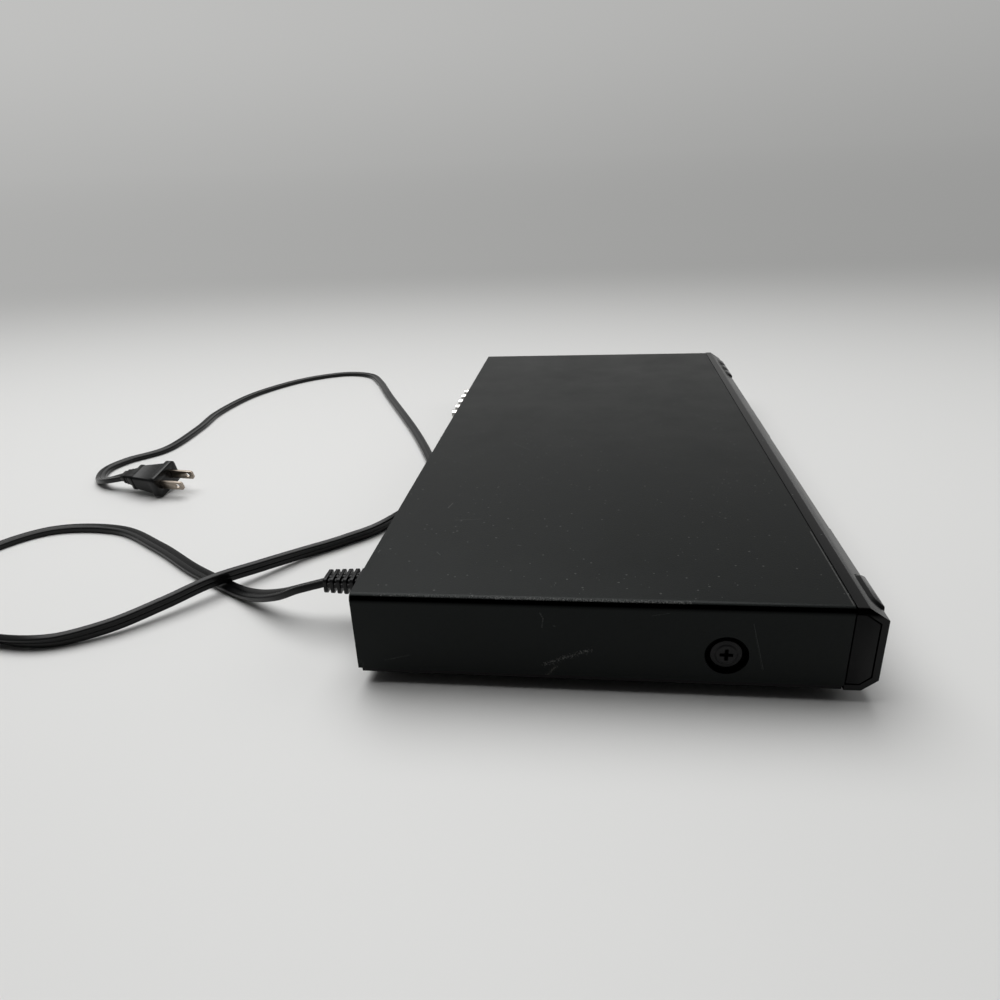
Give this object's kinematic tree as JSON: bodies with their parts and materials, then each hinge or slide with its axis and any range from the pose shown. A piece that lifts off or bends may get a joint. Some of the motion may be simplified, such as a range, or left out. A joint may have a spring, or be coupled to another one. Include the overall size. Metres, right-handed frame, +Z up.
{
  "type": "disc player with tray",
  "caption": "Slim full-width disc player with a chamfered front bezel, motorised tray and lifting traverse inside, phono jacks and a mains cord with plug at the rear.",
  "frame": {"origin": "on the surface it stands on, under the middle of the case's bounding box", "axes": "+X to the right seen from the front, +Y from the front to the rear jacks, +Z up"},
  "size_m": [0.5385, 0.4865, 0.043],
  "materials": {
    "cover_paint": "fine matt texture",
    "chassis_steel": "black coated",
    "panel_paint": "matt",
    "bezel_plastic": "semi gloss",
    "black_plastic": "matt",
    "dark_window": "gloss",
    "foot_rubber": "matt",
    "black_screw": "black zinc",
    "bright_screw": "zinc",
    "nickel": "bright",
    "insulator": "satin",
    "green_board": "solder mask",
    "brown_board": "bare laminate",
    "chip_plastic": "matt",
    "sink_aluminium": "satin",
    "core_metal": "lacquered",
    "sleeve_plastic": "shrink sleeve",
    "ribbon": "satin",
    "cord_vinyl": "satin",
    "blade_nickel": "nickel plated",
    "dark_moulding": "matt",
    "galvanised": "zinc plated",
    "motor_can": "satin",
    "belt_rubber": "matt",
    "white_gear": "natural acetal",
    "tray_plastic": "fine matt",
    "damper_rubber": "matt",
    "winding": "enamelled wire",
    "rail_steel": "polished",
    "lens_metal": "coated",
    "magnet": "sintered",
    "brass_pinion": "turned"
  },
  "bodies": {
    "case": {"top_cover": "cover_paint", "bottom_chassis": "chassis_steel", "rear_panel": "panel_paint", "front_bezel": "bezel_plastic", "bezel_end_caps": "black_plastic", "display_window": "dark_window", "feet": "foot_rubber", "side_screws": "black_screw", "rear_screws": "black_screw", "loader_screws": "bright_screw", "board_screws": "bright_screw", "jack_block": "black_plastic", "jack_barrels": "nickel", "jack_insulators": "insulator", "main_board": "green_board", "board_chips": "chip_plastic", "heat_sinks": "sink_aluminium", "power_board": "brown_board", "transformer": "core_metal", "board_capacitors": "sleeve_plastic", "front_board": "green_board", "display_module": "motor_can", "tact_switches": "chip_plastic", "ribbon_cable": "ribbon", "strain_relief": "cord_vinyl", "power_cord": "cord_vinyl", "plug_body": "cord_vinyl", "plug_blades": "blade_nickel", "loader_frame": "dark_moulding", "clamp_bridge": "galvanised", "loading_motor": "motor_can", "drive_belt": "belt_rubber"},
    "tray": {"disc_tray": "tray_plastic", "tray_door": "bezel_plastic"},
    "motor_pulley": {"motor_pulley": "white_gear"},
    "pulley_gear": {"pulley_gear": "white_gear"},
    "tray_gear": {"tray_gear": "white_gear"},
    "cam_slider": {"cam_slider": "white_gear"},
    "traverse": {"lift_frame": "dark_moulding", "traverse_plate": "galvanised", "traverse_dampers": "damper_rubber", "spindle_motor": "winding", "guide_rails": "rail_steel", "sled_motor": "motor_can"},
    "spindle": {"spindle_rotor": "motor_can", "turntable": "black_plastic"},
    "clamper": {"clamper": "dark_moulding", "clamp_magnet": "magnet"},
    "sled": {"pickup_sled": "dark_moulding", "pickup_lens": "lens_metal"},
    "sled_gear": {"sled_gear": "white_gear"},
    "sled_pinion": {"sled_pinion": "brass_pinion"},
    "power_button": {"power_button": "bezel_plastic"},
    "open_button": {"open_button": "bezel_plastic"},
    "play_button": {"play_button": "bezel_plastic"},
    "stop_button": {"stop_button": "bezel_plastic"}
  },
  "joints": [
    {"name": "tray_slide", "type": "slide", "parent": "case", "child": "tray", "axis": [0, -1, 0], "range_m": [0, 0.134]},
    {"name": "tray_gear_spin", "type": "hinge", "parent": "case", "child": "tray_gear", "pos_m": [-0.023, -0.0794, 0.02], "axis": [0, 0, 1], "range_deg": [-1285, 0]},
    {"name": "pulley_gear_spin", "type": "hinge", "parent": "case", "child": "pulley_gear", "pos_m": [-0.0414, -0.0794, 0.02], "axis": [0, 0, 1], "range_deg": [0, 4620]},
    {"name": "motor_pulley_spin", "type": "hinge", "parent": "case", "child": "motor_pulley", "pos_m": [-0.0854, -0.0794, 0.02], "axis": [0, 0, 1], "range_deg": [0, 14700]},
    {"name": "traverse_lift", "type": "hinge", "parent": "case", "child": "traverse", "pos_m": [-0.069, 0.068, 0.0164], "axis": [1, 0, 0], "range_deg": [0, 3.5]},
    {"name": "cam_slide", "type": "slide", "parent": "case", "child": "cam_slider", "axis": [1, 0, 0], "range_m": [0, 0.012]},
    {"name": "spindle_spin", "type": "hinge", "parent": "traverse", "child": "spindle", "pos_m": [-0.069, -0.0385, 0.03], "axis": [0, 0, 1], "continuous": true},
    {"name": "clamper_spin", "type": "hinge", "parent": "case", "child": "clamper", "pos_m": [-0.069, -0.0385, 0.038], "axis": [0, 0, 1], "continuous": true},
    {"name": "sled_slide", "type": "slide", "parent": "traverse", "child": "sled", "axis": [0, 1, 0], "range_m": [0, 0.034]},
    {"name": "sled_gear_spin", "type": "hinge", "parent": "traverse", "child": "sled_gear", "pos_m": [-0.032, 0.0205, 0.023], "axis": [0, 0, 1], "range_deg": [-490, 0]},
    {"name": "sled_pinion_spin", "type": "hinge", "parent": "traverse", "child": "sled_pinion", "pos_m": [-0.04049, 0.02899, 0.022], "axis": [0, 0, 1], "range_deg": [0, 980]},
    {"name": "power_press", "type": "slide", "parent": "case", "child": "power_button", "axis": [0, 1, 0], "range_m": [0, 0.0008], "stiffness_N_per_m": 600},
    {"name": "open_press", "type": "slide", "parent": "case", "child": "open_button", "axis": [0, 1, 0], "range_m": [0, 0.0008], "stiffness_N_per_m": 600},
    {"name": "play_press", "type": "slide", "parent": "case", "child": "play_button", "axis": [0, 1, 0], "range_m": [0, 0.0008], "stiffness_N_per_m": 600},
    {"name": "stop_press", "type": "slide", "parent": "case", "child": "stop_button", "axis": [0, 1, 0], "range_m": [0, 0.0008], "stiffness_N_per_m": 600}
  ],
  "couplings": [
    {"joint": "tray_gear_spin", "follows": "tray_slide", "rad_per_m": -166.67},
    {"joint": "pulley_gear_spin", "follows": "tray_slide", "rad_per_m": 600},
    {"joint": "motor_pulley_spin", "follows": "tray_slide", "rad_per_m": 1907.5},
    {"joint": "cam_slide", "follows": "traverse_lift", "m_per_rad": 0.19647},
    {"joint": "clamper_spin", "follows": "spindle_spin", "ratio": 1},
    {"joint": "sled_gear_spin", "follows": "sled_slide", "rad_per_m": -250},
    {"joint": "sled_pinion_spin", "follows": "sled_slide", "rad_per_m": 500}
  ]
}
